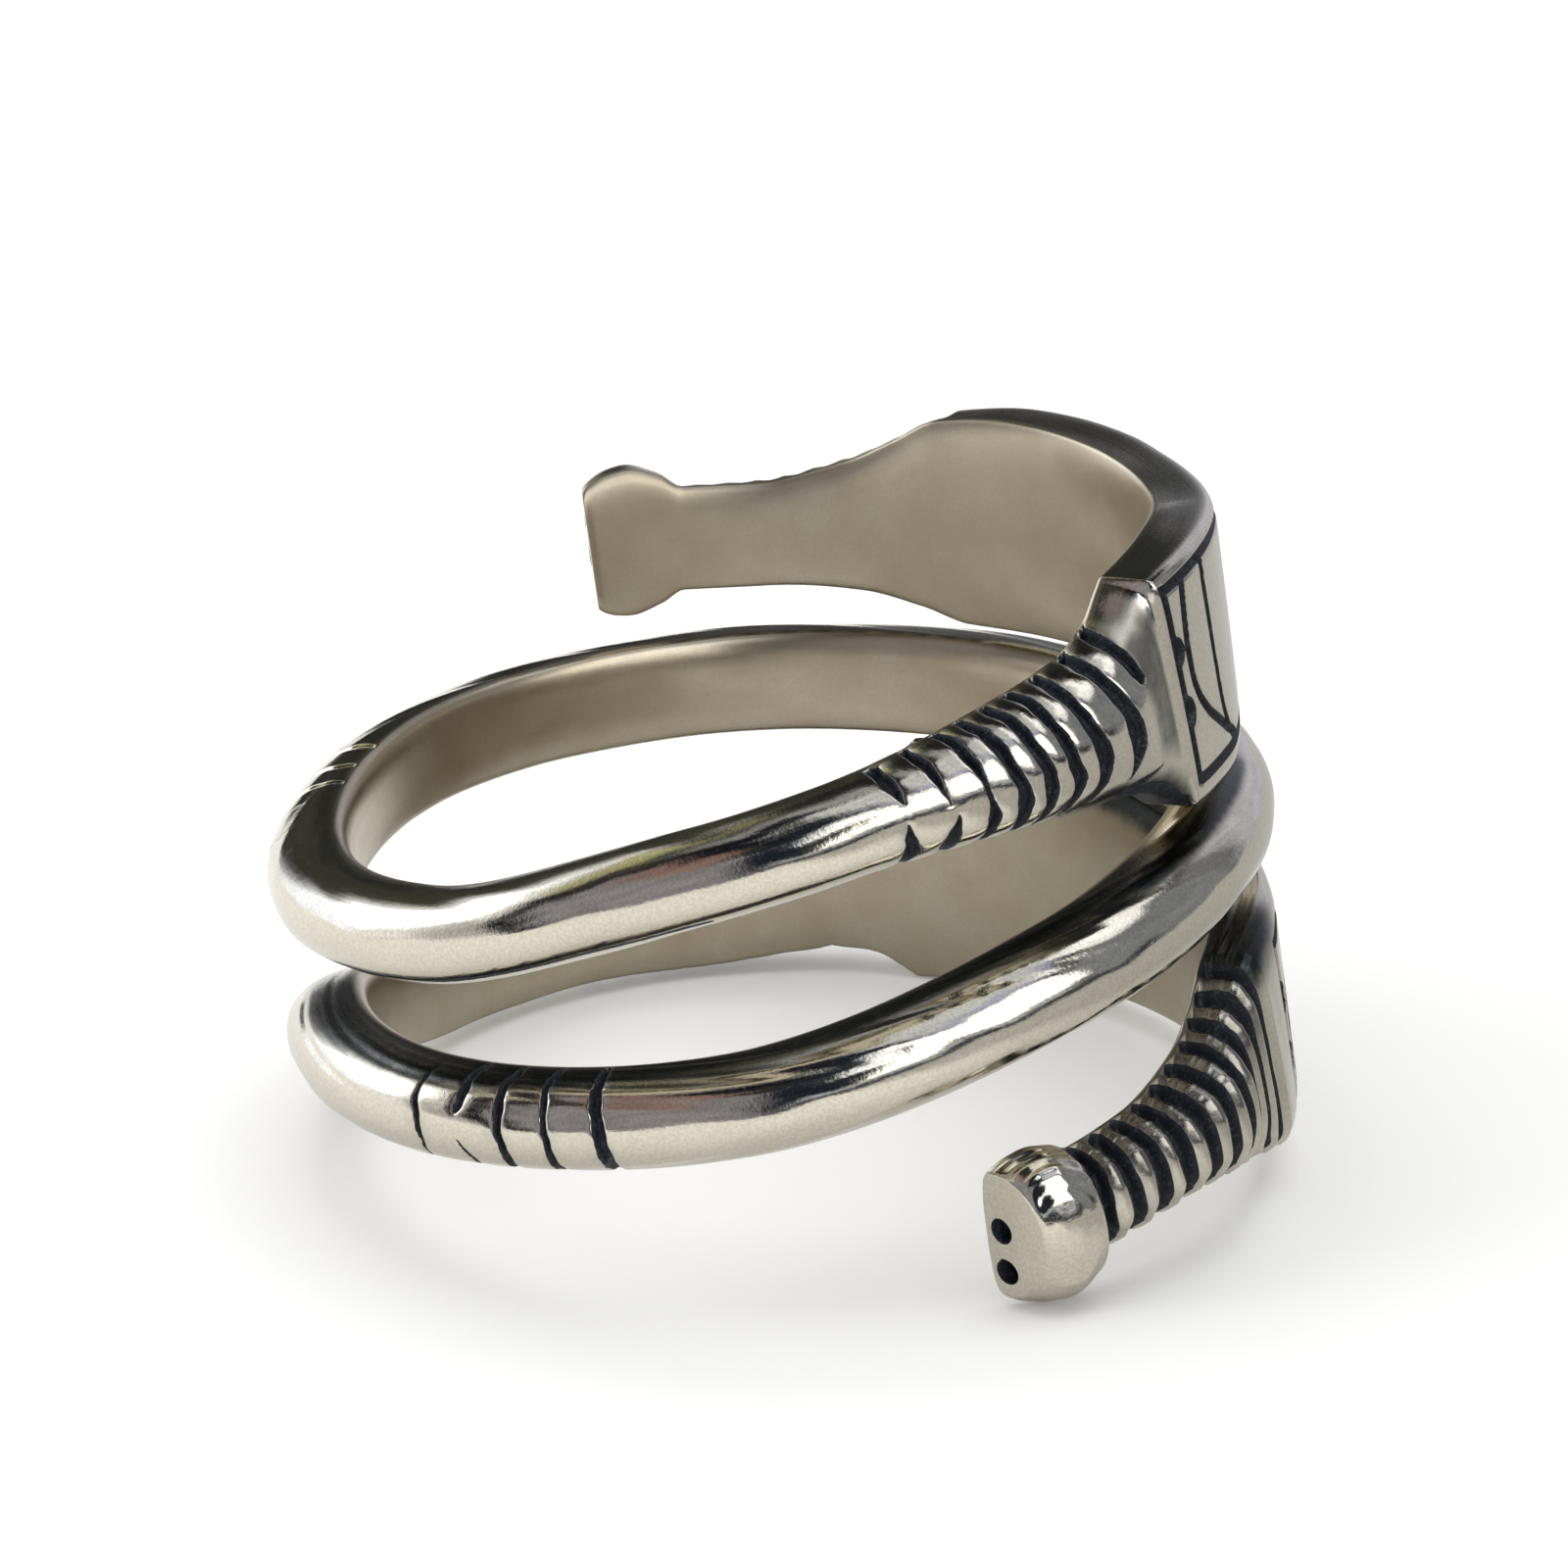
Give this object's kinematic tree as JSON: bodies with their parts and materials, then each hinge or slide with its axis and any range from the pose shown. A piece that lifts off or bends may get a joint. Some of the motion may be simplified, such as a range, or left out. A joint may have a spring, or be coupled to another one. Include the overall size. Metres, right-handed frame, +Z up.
{
  "type": "snake wrap ring",
  "caption": "Open silver finger ring wound as a spiral, with a broad plate, ribbed necks and a blunt snake's snout at each end.",
  "frame": {"origin": "middle of the ring's box, on the surface that it lies on", "axes": "+Z up, 7.5 degrees from the axis of the coil; +X to the right of the picture and +Y away from its camera, so that the plates are at +X"},
  "size_m": [0.0216, 0.0226, 0.0146],
  "materials": {
    "silver": "polished sterling silver, rounded by wear, with fine scratches and blue-black oxide left in the grooves"
  },
  "bodies": {
    "root": {"ring": "silver"}
  },
  "joints": []
}
